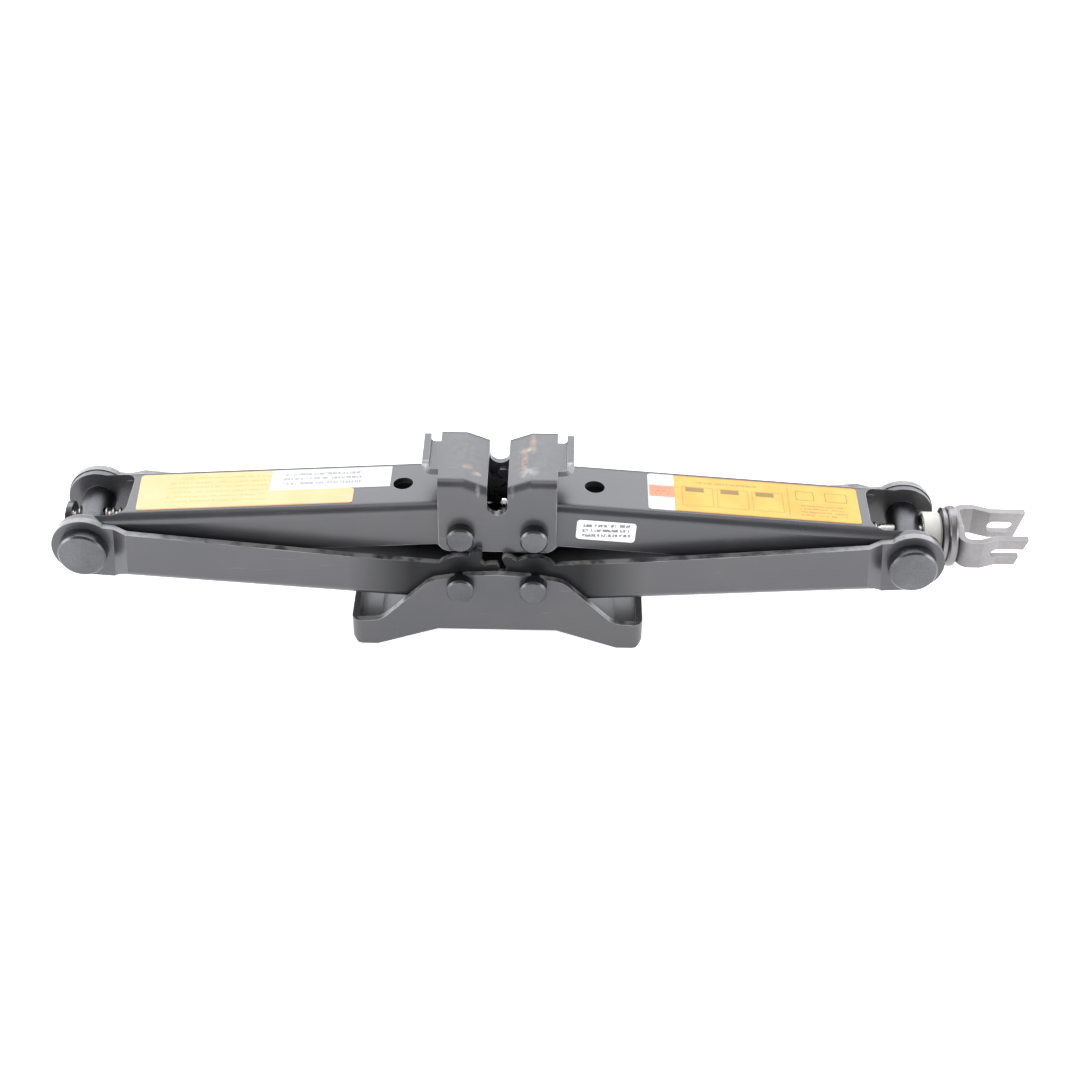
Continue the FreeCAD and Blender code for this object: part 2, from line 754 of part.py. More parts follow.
def collar_washer():
    """The screw's thrust collar: a thick flange with a hub that reaches the outer race."""
    body = new_body("collar_washer")
    hub_start = "race_place + 2 * race_length + 2 * (ball_gap + ball_radius)"
    section = sketch_on(body, "XZ_Plane")
    corners = [
        (hub_start, "shank_radius + running"),
        (hub_start, "collar_hub_radius"),
        ("collar_lip_place", "collar_hub_radius"),
        ("collar_lip_place", "collar_lip_radius"),
        ("collar_lip_place + collar_lip_length", "collar_lip_radius"),
        ("collar_lip_place + collar_lip_length", "collar_groove_radius"),
        ("collar_place", "collar_groove_radius"),
        ("collar_place", "collar_radius"),
        ("collar_place + collar_length", "collar_radius"),
        ("collar_place + collar_length", "shank_radius + running"),
    ]
    outline(section, corners)
    revolve(body, section, "X_Axis")
    round_edges(
        body,
        lambda at, along: near(math.hypot(at.y, at.z), "collar_radius") and abs(along.x) < 0.1,
        "collar_round",
    )
    put(body, "trunnion_offset", "trunnion_height")


def drive_yoke():
    """A bent strip with two prongs that take the crank's hook."""
    body = new_body("drive_yoke")
    strip = sketch_on(body, "XY_Plane")
    outside = [
        ("0", "yoke_half"),
        ("yoke_joggle_start", "yoke_half"),
        ("yoke_joggle_end", "yoke_tip_half"),
        ("yoke_rear_length", "yoke_tip_half"),
        ("yoke_rear_length", "yoke_tip_half - sheet"),
        ("yoke_joggle_end - 0.5", "yoke_tip_half - sheet"),
        ("yoke_joggle_start - 0.5", "yoke_half - sheet"),
        ("sheet", "yoke_half - sheet"),
    ]
    outline(strip, mirrored(outside))
    pad(body, strip, "yoke_height")
    round_edges(
        body,
        lambda at, along: abs(along.z) > 0.99 and near(at.x, "0") and near(abs(at.y), "yoke_half"),
        "yoke_bend",
    )
    round_edges(
        body,
        lambda at, along: abs(along.z) > 0.99
        and near(at.x, "sheet")
        and near(abs(at.y), "yoke_half - sheet"),
        "yoke_bend - sheet",
    )
    prong_tip(body, FRONT, "yoke_front_length", "yoke_front_slant")
    prong_tip(body, REAR, "yoke_rear_length", "yoke_rear_slant")
    bore = sketch_on(body, "YZ_Plane")
    circle(bore, "0", "0", "shank_radius + running")
    cut(body, bore, "4 * sheet")
    prong_slot(body, FRONT, "yoke_slot_start", f"{REACH}", "-yoke_slot_drop", "yoke_slot_height / 2")
    hole_end = "yoke_hole_start + yoke_hole_length"
    prong_slot(body, REAR, "yoke_hole_start", hole_end, "-yoke_hole_drop", "yoke_hole_height / 2")
    put(body, "yoke_place", "trunnion_height")


def prong_tip(body, face, length, slant):
    """Cuts one prong to length, shorter at its lower edge."""
    sketch = sketch_on(body, "XZ_Plane")
    top = "yoke_height / 2"
    corners = [(length, top), (f"{REACH}", top), (f"{REACH}", f"-{top}"), (f"{length} - {slant}", f"-{top}")]
    outline(sketch, corners)
    cut(body, sketch, both=False, backwards=face == FRONT)


def prong_slot(body, face, start, end, middle, radius):
    """A slot along one prong, round at its ends or open past the tip."""
    first, last = f"({start} + {radius})", f"({end} - {radius})"
    sketch = sketch_on(body, "XZ_Plane")
    outline(sketch, rectangle(first, last, f"({middle}) - {radius}", f"({middle}) + {radius}"))
    cut(body, sketch, both=False, backwards=face == FRONT)
    closed = size(end) < size("yoke_rear_length")
    for x in (first, last) if closed else (first,):
        sketch = sketch_on(body, "XZ_Plane")
        circle(sketch, x, middle, radius)
        cut(body, sketch, both=False, backwards=face == FRONT)


# ---- Labels ----


def web_label(label, side, corners, rounded_ends=()):
    """A label on an upper arm's web, its corners given from the jack's centre and the arm's middle line."""
    body = new_body(label)
    sketch = sketch_on(body, "XY_Plane", "upper_depth")
    outline(sketch, [(f"{side} * ({x} - pin_offset)", y) for x, y in corners])
    pad(body, sketch, "label_thickness", both=False)
    for end in rounded_ends:
        round_edges(
            body,
            lambda at, along: abs(along.z) > 0.99 and near(abs(at.x), f"{end} - pin_offset", LABEL_SLACK),
            "label_corner",
        )
    put(body, f"{side} * pin_offset", "saddle_pin_height", "closed_angle", turn=side)


def side_label():
    """A label on the front wall of the right upper arm."""
    body = new_body("label_side")
    sketch = sketch_on(body, "XZ_Plane", "upper_half")
    low = "side_label_top - side_label_height"
    outline(
        sketch,
        rectangle("side_label_start - pin_offset", "side_label_end - pin_offset", low, "side_label_top"),
    )
    pad(body, sketch, "label_thickness", both=False)
    round_edges(body, lambda at, along: abs(along.y) > 0.99, "label_corner")
    put(body, "pin_offset", "saddle_pin_height", "closed_angle", turn=RIGHT)


def labels():
    width = "label_half_width"
    left_yellow = [
        ("left_label_end + left_label_skew", width),
        ("white_label_end + 0.1", width),
        ("white_label_end + 0.1", "white_label_edge - 0.1"),
        ("left_label_start", "white_label_edge - 0.1"),
        ("left_label_start", f"-{width}"),
        ("left_label_end", f"-{width}"),
    ]
    web_label("label_left_yellow", LEFT, left_yellow, ("left_label_end", "left_label_start"))
    web_label(
        "label_left_white", LEFT, rectangle("white_label_start", "white_label_end", "white_label_edge", width)
    )
    web_label(
        "label_right_yellow",
        RIGHT,
        rectangle("right_label_split + 0.1", "right_label_end", f"-{width}", width),
        ("right_label_end",),
    )
    web_label(
        "label_right_white",
        RIGHT,
        rectangle("right_label_start", "right_label_split", f"-{width}", width),
        ("right_label_start",),
    )
    side_label()


# ---- The whole jack ----


def check_and_export():
    for item in doc.Objects:
        if "Invalid" in item.State or "Error" in item.State:
            raise RuntimeError(f"{item.Name} failed: {item.State}")
    os.makedirs("parts", exist_ok=True)
    for part in parts:
        if part.Shape.isNull() or not part.Shape.isValid():
            raise RuntimeError(f"{part.Label} has no valid shape")
        part.Shape.exportStep(f"parts/{part.Label}.step")
        print(f"{part.Label}: {len(part.Shape.Solids)} solid(s), {part.Shape.Volume:.0f} mm3")


def build():
    fill_sheet()
    base_bracket()
    saddle_bracket()
    for name, side in (("left", LEFT), ("right", RIGHT)):
        arm(f"lower_{name}_arm", side, LOWER)
        arm(f"upper_{name}_arm", side, UPPER)
        rivet_pin(f"base_pin_{name}", side, "base_half", "base_pin_height")
        rivet_pin(f"saddle_pin_{name}", side, "ear_half", "saddle_pin_height")
    trunnion("trunnion_left", LEFT, "thread_radius + running")
    trunnion("trunnion_right", RIGHT, "shank_radius + running")
    lifting_screw()
    stop_start = "-2 * trunnion_offset - stop_place - stop_length"
    stop_end = f"{stop_start} + stop_length"
    ring("screw_stop_ring", stop_start, stop_end, "thread_radius + running", "stop_radius")
    thrust_bearing()
    collar_washer()
    drive_yoke()
    labels()
    doc.recompute()
    check_and_export()


build()
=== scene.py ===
import math

import bmesh
import bpy
from mathutils import Matrix, Vector


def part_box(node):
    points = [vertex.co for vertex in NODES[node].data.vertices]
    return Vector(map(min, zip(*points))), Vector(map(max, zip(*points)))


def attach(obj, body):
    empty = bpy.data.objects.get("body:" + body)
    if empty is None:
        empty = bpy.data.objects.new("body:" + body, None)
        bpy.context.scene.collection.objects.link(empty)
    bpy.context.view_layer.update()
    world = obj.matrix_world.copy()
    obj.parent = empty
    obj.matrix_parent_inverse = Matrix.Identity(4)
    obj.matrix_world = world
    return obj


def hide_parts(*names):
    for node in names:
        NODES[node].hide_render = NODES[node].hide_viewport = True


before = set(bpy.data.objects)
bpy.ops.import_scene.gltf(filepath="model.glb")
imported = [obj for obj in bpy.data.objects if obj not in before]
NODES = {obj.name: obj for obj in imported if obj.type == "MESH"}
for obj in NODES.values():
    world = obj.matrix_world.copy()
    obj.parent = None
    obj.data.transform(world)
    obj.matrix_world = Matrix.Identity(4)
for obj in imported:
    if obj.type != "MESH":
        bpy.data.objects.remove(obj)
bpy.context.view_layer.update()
MM = 0.001

# ---- Places, all worked out from the frame ----

BASE_LOW, BASE_HIGH = (Vector(corner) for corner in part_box("base_bracket"))
CENTRE_X = (BASE_LOW.x + BASE_HIGH.x) / 2
SADDLE_HIGH = Vector(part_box("saddle_bracket")[1])
ARM_HIGH = Vector(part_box("lower_left_arm")[1])
SCREW_LOW, SCREW_HIGH = (Vector(corner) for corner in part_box("lifting_screw"))
SCREW_Z = (SCREW_LOW.z + SCREW_HIGH.z) / 2
COLLAR_LOW = Vector(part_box("collar_washer")[0])


# ---- Node material kit ----


class Paint:
    """A node material under construction, with short calls for the nodes it uses most."""

    def __init__(self, name):
        self.material = bpy.data.materials.new(name)
        self.material.use_nodes = True
        self.tree = self.material.node_tree
        self.shader = self.tree.nodes["Principled BSDF"]
        self.coordinates = self.tree.nodes.new("ShaderNodeTexCoord").outputs
        self.place = self.coordinates["Object"]

    def node(self, kind, inputs=(), **settings):
        made = self.tree.nodes.new(kind)
        for key, setting in settings.items():
            setattr(made, key, setting)
        for key, value in dict(inputs).items():
            self.feed(made.inputs[key], value)
        return made

    def feed(self, socket, value):
        if isinstance(value, bpy.types.NodeSocket):
            self.tree.links.new(value, socket)
        else:
            socket.default_value = value

    def math(self, operation, first, second=0.0, clamp=False):
        made = self.node("ShaderNodeMath", {0: first, 1: second}, operation=operation, use_clamp=clamp)
        return made.outputs[0]

    def noise(self, scale, detail=4.0, roughness=0.55, stretch=(1, 1, 1)):
        moved = self.node("ShaderNodeMapping", {"Vector": self.place, "Scale": stretch})
        return self.node(
            "ShaderNodeTexNoise",
            {"Vector": moved.outputs[0], "Scale": scale, "Detail": detail, "Roughness": roughness},
        ).outputs["Fac"]

    def scratches(self, scale, angle, stretch=14.0):
        turn = (angle, angle * 0.7, angle * 1.3)
        scales = (1, stretch, stretch)
        turned = self.node("ShaderNodeMapping", {"Vector": self.place, "Rotation": turn, "Scale": scales})
        lines = self.node("ShaderNodeTexNoise", {"Vector": turned.outputs[0], "Scale": scale, "Detail": 2.0})
        return self.span(lines.outputs["Fac"], 0.68, 0.74)

    def span(self, value, low, high, to_low=0.0, to_high=1.0):
        return self.node(
            "ShaderNodeMapRange",
            {"Value": value, "From Min": low, "From Max": high, "To Min": to_low, "To Max": to_high},
        ).outputs[0]

    def mix(self, factor, first, second):
        mixer = self.node("ShaderNodeMix", data_type="RGBA")
        self.feed(mixer.inputs["Factor"], factor)
        self.feed(mixer.inputs[6], first)
        self.feed(mixer.inputs[7], second)
        return mixer.outputs[2]

    def edges(self, radius, low=0.02, high=0.16):
        """1 along convex and concave edges, from how far a rounded normal leans from the true one."""
        rounded = self.node("ShaderNodeBevel", {"Radius": radius}, samples=6).outputs[0]
        straight = self.node("ShaderNodeNewGeometry").outputs["Normal"]
        lean = self.node("ShaderNodeVectorMath", {0: rounded, 1: straight}, operation="DOT_PRODUCT")
        return self.span(self.math("SUBTRACT", 1.0, lean.outputs["Value"]), low, high)

    def bump(self, height, distance, strength=1.0):
        made = self.node("ShaderNodeBump", {"Height": height, "Distance": distance, "Strength": strength})
        self.tree.links.new(made.outputs[0], self.shader.inputs["Normal"])

    def near(self, place, reach, softness=0.6):
        """1 close to a place, falling to 0 at the given reach along each axis."""
        offset = self.node("ShaderNodeVectorMath", {0: self.place, 1: tuple(place)}, operation="SUBTRACT")
        share = self.node("ShaderNodeVectorMath", {0: offset.outputs[0], 1: tuple(reach)}, operation="DIVIDE")
        away = self.node("ShaderNodeVectorMath", {0: share.outputs[0]}, operation="LENGTH")
        return self.span(away.outputs["Value"], 1 - softness, 1, 1.0, 0.0)

    def axes(self):
        return self.node("ShaderNodeSeparateXYZ", {0: self.place}).outputs

    def highlight_edge_mask(self, inner, low):
        """1 on faces that look up, further than inner from the jack's middle plane and higher than low: the
        mask of a painted highlight on upward sheet edges.
        """
        facing = self.node("ShaderNodeSeparateXYZ", {0: self.coordinates["Normal"]}).outputs[2]
        _, y, z = self.axes()
        beyond = self.span(self.math("ABSOLUTE", y), inner, inner + 0.2 * MM)
        above = self.span(z, low, low + 1 * MM)
        return self.math("MULTIPLY", self.span(facing, 0.2, 0.45), self.math("MULTIPLY", beyond, above))

    def band(self, value, low, high, soft=0.00015):
        """1 while a value lies between low and high."""
        rise = self.span(value, low - soft, low + soft)
        fall = self.span(value, high - soft, high + soft, 1.0, 0.0)
        return self.math("MULTIPLY", rise, fall)

    def box(self, along, across, limits):
        """1 inside a rectangle given as (low, high) along and (low, high) across."""
        return self.math("MULTIPLY", self.band(along, *limits[:2]), self.band(across, *limits[2:]))

    def finish(self, colour, roughness, metallic=0.0, **sockets):
        self.feed(self.shader.inputs["Base Color"], colour)
        self.feed(self.shader.inputs["Roughness"], roughness)
        self.feed(self.shader.inputs["Metallic"], metallic)
        for name, value in sockets.items():
            self.feed(self.shader.inputs[name.replace("_", " ")], value)
        return self.material


# ---- Materials ----

BLACK = (0.034, 0.034, 0.039, 1)
BLACK_WARM = (0.05, 0.047, 0.047, 1)
# Pale grey for handling marks, and for edges that are partly worn and partly a painted highlight.
PALE_WEAR_AND_HIGHLIGHT = (0.4, 0.39, 0.39, 1)
# Light grey painted highlight for upward-facing sheet edges.
EDGE_HIGHLIGHT_GREY = (0.28, 0.27, 0.26, 1)
# Near-black painted shade for the lower arms towards the jack's centre.
PAINTED_SHADE_BLACK = (0.012, 0.012, 0.013, 1)
FRAME_LINE = 0.35 * MM


def black_paint(name, scuffs_and_sheen=(), lit_edges=None, centre_shade=None):
    """Satin black dip paint on pressed steel: orange peel, handling marks, and pale edges that are partly
    thin paint and partly a painted highlight.

    lit_edges gives where a piece's upward sheet edges are, which get a painted highlight: from the jack's
    middle plane, and from the ground.
    centre_shade gives how far from the jack's centre the painted shade lies full dark, and where it ends; the
    coat is dulled over the same stretch.
    """
    paint = Paint(name)
    cloud = paint.noise(22.0, 5.0)
    speck = paint.noise(900.0, 2.0)
    colour = paint.mix(paint.span(cloud, 0.35, 0.7), BLACK, BLACK_WARM)
    marks = paint.math("MULTIPLY", paint.scratches(60.0, 0.5), paint.span(cloud, 0.45, 0.6), clamp=True)
    colour = paint.mix(paint.math("MULTIPLY", marks, 0.12), colour, PALE_WEAR_AND_HIGHLIGHT)
    # Pale edges: partly thin, worn paint and partly a painted highlight.
    wear_and_highlight = paint.math("MULTIPLY", paint.edges(0.7 * MM), paint.span(paint.noise(70.0), 0.36, 0.6), clamp=True)
    colour = paint.mix(paint.math("MULTIPLY", wear_and_highlight, 0.85), colour, PALE_WEAR_AND_HIGHLIGHT)
    # Painted shade: darker towards the jack's centre, where the base shades the lower arms; the coat is
    # dulled there too.
    if centre_shade:
        from_centre = paint.math("ABSOLUTE", paint.math("SUBTRACT", paint.axes()[0], CENTRE_X))
        outside_painted_shade = paint.span(from_centre, *centre_shade)
        colour = paint.mix(outside_painted_shade, PAINTED_SHADE_BLACK, colour)
    # Painted highlight: upward-facing sheet edges lightened in patches, where they catch the light.
    if lit_edges:
        patchy = paint.span(paint.noise(120.0), 0.36, 0.56)
        edge_highlight = paint.math("MULTIPLY", paint.highlight_edge_mask(*lit_edges), patchy)
        colour = paint.mix(paint.math("MULTIPLY", edge_highlight, 0.8), colour, EDGE_HIGHLIGHT_GREY)
    # Scuffs and patches of painted sheen, each broken up by noise.
    spot_breakup = paint.span(paint.noise(330.0), 0.28, 0.62)
    for place, reach, tint in scuffs_and_sheen:
        spot = paint.math("MULTIPLY", paint.near(place, reach), spot_breakup)
        colour = paint.mix(paint.math("MULTIPLY", spot, 0.6, clamp=True), colour, tint)
    roughness = paint.span(paint.math("ADD", cloud, paint.math("MULTIPLY", speck, 0.3)), 0.4, 1.0, 0.27, 0.42)
    paint.bump(paint.math("ADD", paint.noise(420.0, 3.0), paint.math("MULTIPLY", cloud, 0.8)), 0.00004)
    # The coat follows the painted shade: absent near the jack's centre, nearly full further out.
    if centre_shade:
        shine = {"Coat_Weight": paint.math("MULTIPLY", outside_painted_shade, 0.9), "Coat_IOR": 1.7, "Coat_Roughness": 0.3}
        return paint.finish(colour, roughness, Specular_IOR_Level=0.2, **shine)
    return paint.finish(colour, roughness, Specular_IOR_Level=0.8, Coat_Weight=0.25, Coat_Roughness=0.18)


def bare_steel(name, light, dark, roughness, grain=(1, 1, 1), pits=0.00003, metal=1.0):
    """Steel with a fine grain and darker clouds, for plated, rolled or ground pieces."""
    paint = Paint(name)
    cloud = paint.noise(45.0, 6.0)
    fine = paint.noise(1100.0, 3.0, stretch=grain)
    blend = paint.span(paint.math("ADD", cloud, paint.math("MULTIPLY", fine, 0.4)), 0.45, 1.0)
    colour = paint.mix(blend, light, dark)
    # Lighter edges: partly worn bright metal and partly a painted highlight.
    wear_and_highlight = paint.math("MULTIPLY", paint.edges(0.4 * MM), 0.6, clamp=True)
    colour = paint.mix(wear_and_highlight, colour, tuple(min(1.0, part * 1.7) for part in light[:3]) + (1,))
    rough = paint.span(cloud, 0.3, 0.7, roughness - 0.06, roughness + 0.08)
    paint.bump(paint.math("ADD", fine, cloud), pits)
    return paint.finish(colour, rough, metal)


def cream_plastic():
    paint = Paint("cream_plastic")
    cloud = paint.noise(60.0)
    colour = paint.mix(paint.span(cloud, 0.35, 0.7), (0.8, 0.78, 0.71, 1), (0.68, 0.66, 0.58, 1))
    patchy = paint.span(paint.noise(180.0), 0.4, 0.6)
    grime = paint.math("MULTIPLY", paint.edges(0.9 * MM), patchy, clamp=True)
    colour = paint.mix(paint.math("MULTIPLY", grime, 0.5), colour, (0.3, 0.27, 0.22, 1))
    paint.bump(paint.noise(500.0), 0.00003)
    return paint.finish(colour, paint.span(cloud, 0.3, 0.7, 0.38, 0.5))


def printed_film(name, ground, shade, layers, upright=False):
    """A satin label: a ground colour under printed layers, each (boxes, frames, words, tint, strength)."""
    paint = Paint(name)
    x, y, z = paint.axes()
    across = z if upright else y
    fade = paint.noise(90.0)
    colour = paint.mix(paint.span(fade, 0.4, 0.7), ground, shade)
    letters = paint.span(paint.noise(1500.0, 2.0, stretch=(1, 0.25, 0.25)), 0.44, 0.5)
    for boxes, frames, words, tint, strength in layers:
        printed = 0.0
        for box in boxes:
            printed = paint.math("MAXIMUM", paint.box(x, across, box), printed)
        for box in frames:
            inside = [box[0] + FRAME_LINE, box[1] - FRAME_LINE, box[2] + FRAME_LINE, box[3] - FRAME_LINE]
            line = paint.math("SUBTRACT", paint.box(x, across, box), paint.box(x, across, inside), clamp=True)
            printed = paint.math("MAXIMUM", line, printed)
        for box in words:
            word = paint.math("MULTIPLY", paint.box(x, across, box), letters)
            printed = paint.math("MAXIMUM", word, printed)
        colour = paint.mix(paint.math("MULTIPLY", printed, strength), colour, tint)
    paint.bump(paint.noise(350.0), 0.00002)
    return paint.finish(colour, paint.span(fade, 0.3, 0.7, 0.34, 0.46), Specular_IOR_Level=0.3)


def floor_white():
    paint = Paint("floor_white")
    colour = paint.mix(paint.noise(3.0), (0.93, 0.93, 0.93, 1), (0.95, 0.95, 0.95, 1))
    glow = {"Emission_Color": (0.97, 0.97, 1, 1), "Emission_Strength": 0.82}
    return paint.finish(colour, 0.6, Specular_IOR_Level=0.2, **glow)


# ---- Carried-over pieces ----


def soften(node, width=0.35 * MM, segments=2):
    """Rounds a CAD piece's sharp edges as pressing and tumbling would."""
    piece = NODES[node]
    bevel = piece.modifiers.new("edges", "BEVEL")
    bevel.width = width
    bevel.segments = segments
    bevel.limit_method = "ANGLE"
    bevel.angle_limit = math.radians(40)
    bevel.harden_normals = True


def wear_material(node, material):
    piece = NODES[node]
    piece.data.materials.clear()
    piece.data.materials.append(material)


RUST = (0.5, 0.24, 0.1, 1)
CHALK = (0.62, 0.45, 0.34, 1)
DUST = (0.42, 0.41, 0.42, 1)
# Grey for a painted sheen on the saddle's lobe tops.
PAINTED_SHEEN_GREY = (0.1, 0.1, 0.105, 1)
BARE = (0.75, 0.75, 0.76, 1)
UPPER_ARMS = ("upper_left_arm", "upper_right_arm")
LOWER_ARMS = ("lower_left_arm", "lower_right_arm")
PINS = ("base_pin_left", "base_pin_right", "saddle_pin_left", "saddle_pin_right")
TRUNNIONS = ("trunnion_left", "trunnion_right")


def saddle_patch(across, depth, wide, long, tint, drop=6):
    """A rubbed mark or a patch of painted sheen on the saddle, placed in millimetres from its centre and
    sized along x and y.
    """
    place = Vector((CENTRE_X + across * MM, depth * MM, SADDLE_HIGH.z - drop * MM))
    return place, (wide * MM, long * MM, 6 * MM), tint


def saddle_paint():
    scuffs_and_sheen = [
        # Painted sheen: the first two entries are broad lighter patches on the lobe tops.
        saddle_patch(-15, 4, 13, 26, PAINTED_SHEEN_GREY),
        saddle_patch(15, 2, 15, 28, PAINTED_SHEEN_GREY),
        saddle_patch(-13.3, -7.8, 2.8, 2.2, RUST),
        saddle_patch(-9.2, -11, 2.6, 1.8, CHALK),
        saddle_patch(14.6, 10, 2, 9, RUST),
        saddle_patch(13, 6, 5, 2.4, CHALK),
        saddle_patch(11.2, -3, 1.8, 13, RUST),
        saddle_patch(13.5, -11, 5, 5, DUST),
        saddle_patch(6.3, -20, 1.6, 3, DUST),
        saddle_patch(-8.2, -20, 1.4, 3, DUST),
    ]
    scuffs_and_sheen += [saddle_patch(side * 31, -11, 3, 2, BARE, drop=1) for side in (-1, 1)]
    return black_paint("saddle_paint", scuffs_and_sheen)


def lower_arm_paint():
    # Painted highlight on the upward sheet edges.
    edges = (ARM_HIGH.y - 6.5 * MM, 38 * MM)
    # Painted shade towards the jack's centre.
    return black_paint("lower_arm_paint", lit_edges=edges, centre_shade=(37 * MM, 65 * MM))


def base_paint():
    # Painted highlight on the base's upward sheet edges.
    return black_paint("base_paint", lit_edges=(BASE_HIGH.y - 3.2 * MM, 10 * MM))


def dress(material, *names):
    for name in names:
        wear_material(name, material)


def dress_pressings():
    dress(black_paint("black_paint"), *UPPER_ARMS)
    dress(base_paint(), "base_bracket")
    dress(lower_arm_paint(), *LOWER_ARMS)
    dress(saddle_paint(), "saddle_bracket")
    for name in (*UPPER_ARMS, *LOWER_ARMS, "base_bracket", "saddle_bracket"):
        soften(name)


def dress_pivots():
    forged = bare_steel("forged_black", (0.145, 0.145, 0.152, 1), (0.08, 0.08, 0.083, 1), 0.33)
    dress(forged, *PINS, *TRUNNIONS, "screw_stop_ring")
    for name in (*PINS, *TRUNNIONS):
        soften(name, 0.5 * MM, 3)


def dress_bearing():
    ground = bare_steel("ground_steel", (0.62, 0.62, 0.63, 1), (0.5, 0.5, 0.5, 1), 0.2)
    brass = bare_steel("cage_brass", (0.75, 0.55, 0.25, 1), (0.5, 0.36, 0.15, 1), 0.35)
    dress(ground, "bearing_race_inner", "bearing_race_outer", "bearing_balls")
    dress(brass, "ball_cage")
    dress(cream_plastic(), "bearing_cover")
    soften("bearing_cover")


def dress_drive():
    zinc = bare_steel(
        "dull_zinc", (0.33, 0.32, 0.31, 1), (0.22, 0.21, 0.21, 1), 0.48, pits=0.00005, metal=0.6
    )
    phosphated = bare_steel("phosphated", (0.3, 0.29, 0.29, 1), (0.2, 0.19, 0.19, 1), 0.4)
    dress(zinc, "drive_yoke")
    dress(phosphated, "collar_washer")
    for name in ("drive_yoke", "collar_washer"):
        soften(name)


# ---- Labels ----

AMBER = (0.88, 0.56, 0.11, 1)
AMBER_DARK = (0.82, 0.5, 0.09, 1)
STRAW = (0.88, 0.68, 0.36, 1)
STRAW_DARK = (0.86, 0.64, 0.3, 1)
WHITE = (0.88, 0.88, 0.87, 1)
GREY = (0.78, 0.78, 0.77, 1)
INK = (0.06, 0.05, 0.05, 1)
BRICK = (0.55, 0.12, 0.07, 1)
VERMILION = (0.78, 0.28, 0.1, 1)


def share(low, high, start, end):
    """The stretch from one fraction of a span to another."""
    return low + (high - low) * start, low + (high - low) * end


def text_lines(low, high, start, end, first, last, count, height):
    """Evenly spaced lines of word-like marks between two fractions across a label."""
    lines = []
    for number in range(count):
        fraction = first + (last - first) * number / max(count - 1, 1)
        middle = low[1] + (high[1] - low[1]) * fraction
        lines.append((*share(low[0], high[0], start, end), middle - height / 2, middle + height / 2))
    return lines


def part_of(low, high, start, end, bottom, top):
    """A rectangle given as fractions along and across a label."""
    return (*share(low[0], high[0], start, end), *share(low[1], high[1], bottom, top))


def edge_line(low, high, bottom):
    """A thin line the whole length of a label."""
    return (low[0], high[0], bottom, bottom + 0.5 * MM)


def flat_box(node, upright=False):
    """A label's corners as (along the jack, across the label)."""
    low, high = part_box(node)
    second = 2 if upright else 1
    return (low[0], low[second]), (high[0], high[second])


def label_left_yellow():
    low, high = flat_box("label_left_yellow")
    words = text_lines(low, high, 0.14, 0.6, 0.2, 0.86, 6, 1.0 * MM)
    lines = (edge_line(low, high, low[1]),)
    layers = [((), (), words, AMBER_DARK, 0.5), (lines, (), (), BRICK, 0.7)]
    dress(printed_film("print_left_yellow", STRAW, STRAW_DARK, layers), "label_left_yellow")


def label_left_white():
    low, high = flat_box("label_left_white")
    words = text_lines(low, high, 0.1, 0.75, 0.3, 0.75, 3, 1.6 * MM)
    layers = [((), (), words, INK, 0.5)]
    dress(printed_film("print_left_white", WHITE, GREY, layers), "label_left_white")


def label_right_yellow():
    low, high = flat_box("label_right_yellow")
    cells = [part_of(low, high, start, start + 0.17, 0.16, 0.7) for start in (0.04, 0.23, 0.42)]
    plates = [part_of(low, high, start, start + 0.1, 0.56, 0.68) for start in (0.06, 0.25, 0.44)]
    words = text_lines(low, high, 0.12, 0.45, 0.83, 0.83, 1, 1.2 * MM)
    words += text_lines(low, high, 0.68, 0.93, 0.14, 0.4, 4, 1.0 * MM)
    emblems = [part_of(low, high, 0.66, 0.76, 0.55, 0.8), part_of(low, high, 0.82, 0.94, 0.55, 0.8)]
    split = [part_of(low, high, 0.615, 0.62, 0.1, 0.9)]
    lines = [edge_line(low, high, low[1]), edge_line(low, high, high[1] - 0.5 * MM)]
    layers = [
        (split, cells, words, BRICK, 0.55),
        (plates, emblems, (), INK, 0.6),
        (lines, (), (), BRICK, 0.6),
    ]
    dress(printed_film("print_right_yellow", AMBER, AMBER_DARK, layers), "label_right_yellow")


def label_right_white():
    low, high = flat_box("label_right_white")
    block = [part_of(low, high, 0.05, 1.0, 0.36, 0.68)]
    words = text_lines(low, high, 0.15, 0.85, 0.45, 0.6, 3, 0.9 * MM)
    layers = [(block, (), (), VERMILION, 0.85), ((), (), words, BRICK, 0.5)]
    dress(printed_film("print_right_white", WHITE, GREY, layers), "label_right_white")


def label_side():
    low, high = flat_box("label_side", upright=True)
    words = text_lines(low, high, 0.1, 0.9, 0.3, 0.74, 3, 1.5 * MM)
    layers = [((), (), words, INK, 0.8)]
    dress(printed_film("print_side", WHITE, GREY, layers, upright=True), "label_side")


# ---- Screw ----

THREAD_PITCH = 3.0 * MM
THREAD_DEPTH = 1.25 * MM
CREST_RADIUS = 5.5 * MM
SHANK_RADIUS = 4.8 * MM
PLAIN_LENGTH = 24.5 * MM
RIVET_HEIGHT = 1.0 * MM
AROUND = 40


